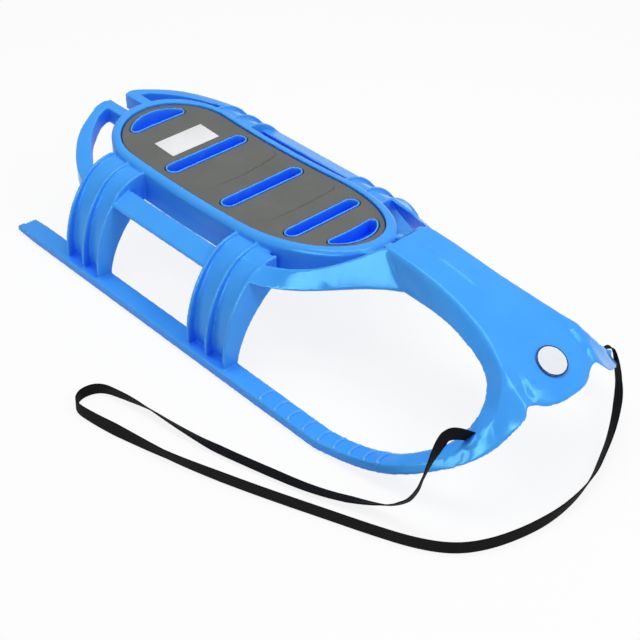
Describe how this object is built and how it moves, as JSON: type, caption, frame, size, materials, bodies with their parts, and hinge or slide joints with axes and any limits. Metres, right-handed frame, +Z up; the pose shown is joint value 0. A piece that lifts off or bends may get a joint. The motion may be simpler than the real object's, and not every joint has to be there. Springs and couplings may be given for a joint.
{
  "type": "plastic toboggan sled",
  "caption": "Moulded plastic snow sled with two runners, ribbed legs, padded seat, grip rails, rear hand loops, a rounded hood and a webbing pull strap.",
  "frame": {"origin": "centre of the footprint of the sled without its strap, on the floor", "axes": "+X forward to the nose, +Y to the rider's left, +Z up"},
  "size_m": [0.9964, 0.6023, 0.2225],
  "materials": {
    "blue_plastic": "glossy injection-moulded polyethylene",
    "grey_foam": "fine-skinned closed-cell foam",
    "white_film": "plain white film",
    "black_webbing": "woven polypropylene webbing",
    "badge_disc": "plain pale disc with a dark blue ring",
    "strip_steel": "plain rolled steel"
  },
  "bodies": {
    "root": {"left_front_curl": "blue_plastic", "left_front_leg": "blue_plastic", "left_front_rail": "blue_plastic", "left_neck_rib": "blue_plastic", "left_rear_leg": "blue_plastic", "left_rear_loop": "blue_plastic", "left_runner": "blue_plastic", "left_side_rail": "blue_plastic", "left_steel_strip": "strip_steel", "nose_badge": "badge_disc", "nose_hood": "blue_plastic", "pad_label": "white_film", "pull_strap": "black_webbing", "right_front_curl": "blue_plastic", "right_front_leg": "blue_plastic", "right_front_rail": "blue_plastic", "right_neck_rib": "blue_plastic", "right_rear_leg": "blue_plastic", "right_rear_loop": "blue_plastic", "right_runner": "blue_plastic", "right_side_rail": "blue_plastic", "right_steel_strip": "strip_steel", "seat_deck": "blue_plastic", "seat_pad": "grey_foam"}
  },
  "joints": []
}
